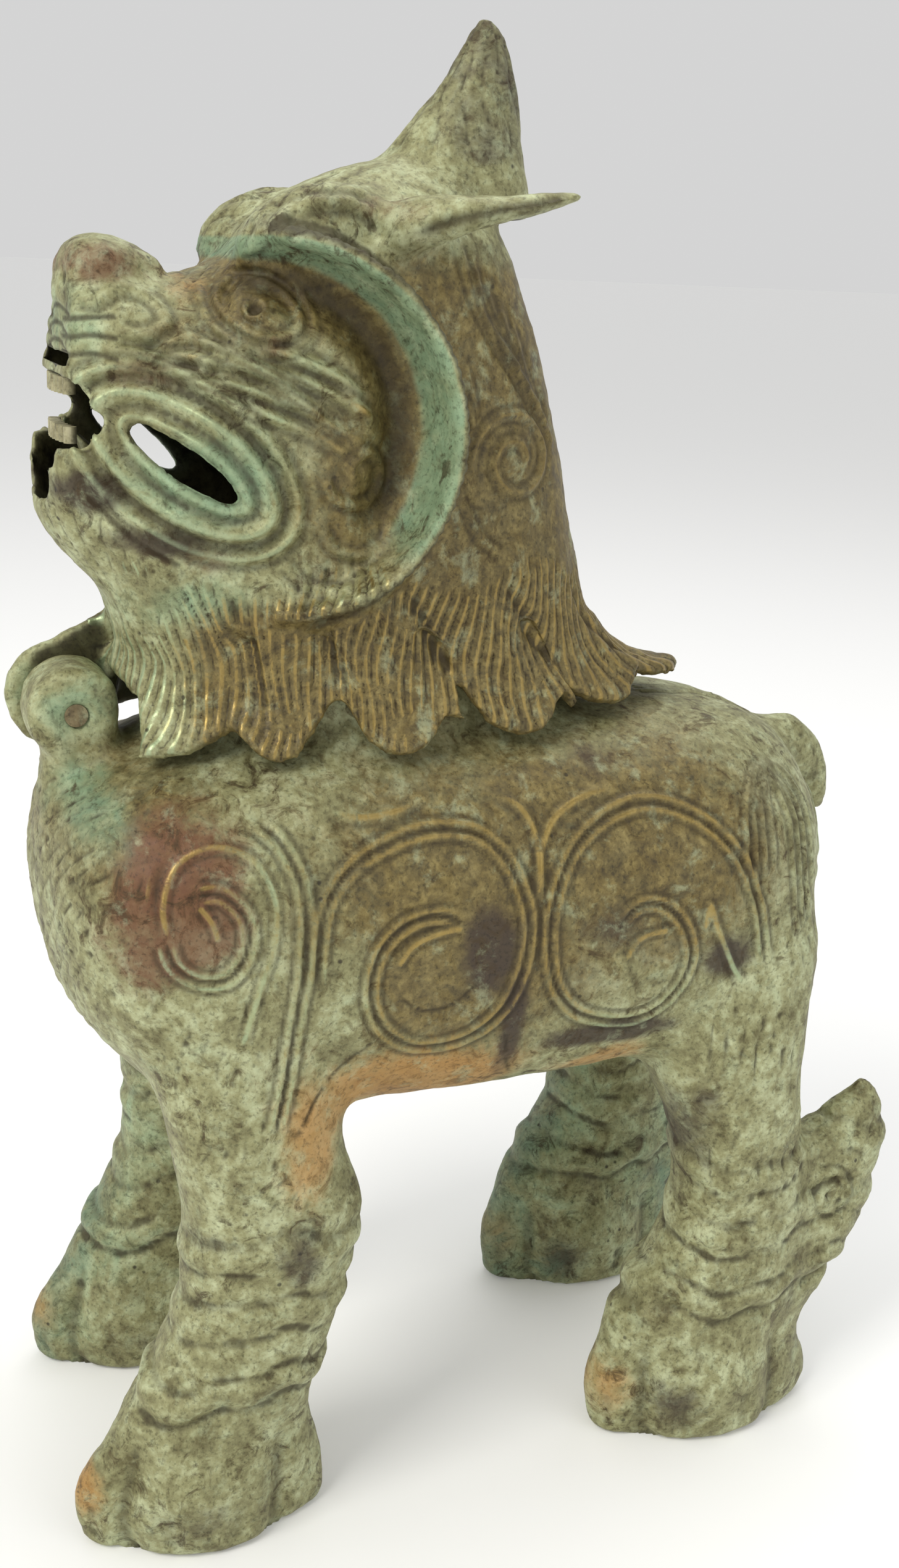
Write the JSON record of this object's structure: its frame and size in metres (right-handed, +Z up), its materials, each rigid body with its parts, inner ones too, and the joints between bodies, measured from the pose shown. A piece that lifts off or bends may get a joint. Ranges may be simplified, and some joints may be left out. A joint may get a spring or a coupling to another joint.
{
  "type": "foo dog statue",
  "caption": "Hollow cast bronze one-horned foo dog censer standing on four legs, its hinged head is a lid that lets smoke out by the mouth.",
  "frame": {"origin": "on the ground under the middle of the whole part's footprint", "axes": "+Z up, the beast faces -Y, +X is its left side"},
  "size_m": [0.127, 0.2554, 0.4],
  "materials": {
    "body_bronze": "cast bronze with a mottled green and ochre patina, matt with worn golden lines",
    "leg_bronze": "cast bronze under a pale green patina, matt, brown at the toes",
    "head_bronze": "cast bronze with a green patina in the hollows and brown on the ridges, matt",
    "collar_bronze": "cast bronze with an ochre patina over the hair strands, matt",
    "dark_bronze": "dark brown bare bronze, dull"
  },
  "bodies": {
    "body": {"torso_shell": "body_bronze", "neck_rim": "dark_bronze", "chest_knuckle": "body_bronze", "front_left_leg": "leg_bronze", "front_right_leg": "leg_bronze", "rear_left_leg": "leg_bronze", "rear_right_leg": "leg_bronze", "hock_flame_left": "leg_bronze", "hock_flame_right": "leg_bronze", "tail": "body_bronze"},
    "head": {"skull_shell": "head_bronze", "lower_jaw": "head_bronze", "mane_collar": "collar_bronze", "hinge_ear": "collar_bronze", "hinge_pin": "dark_bronze", "horn": "head_bronze", "ear_left": "head_bronze", "ear_right": "head_bronze", "cheek_flange_left": "head_bronze", "cheek_flange_right": "head_bronze", "brow_left": "head_bronze", "brow_right": "head_bronze", "eye_left": "head_bronze", "eye_right": "head_bronze", "nose": "head_bronze", "upper_teeth": "dark_bronze", "lower_teeth": "dark_bronze", "tongue": "dark_bronze"}
  },
  "joints": [
    {"name": "head_hinge", "type": "hinge", "parent": "body", "child": "head", "pos_m": [0, -0.1127, 0.225], "axis": [1, 0, 0], "range_deg": [0, 100]}
  ]
}
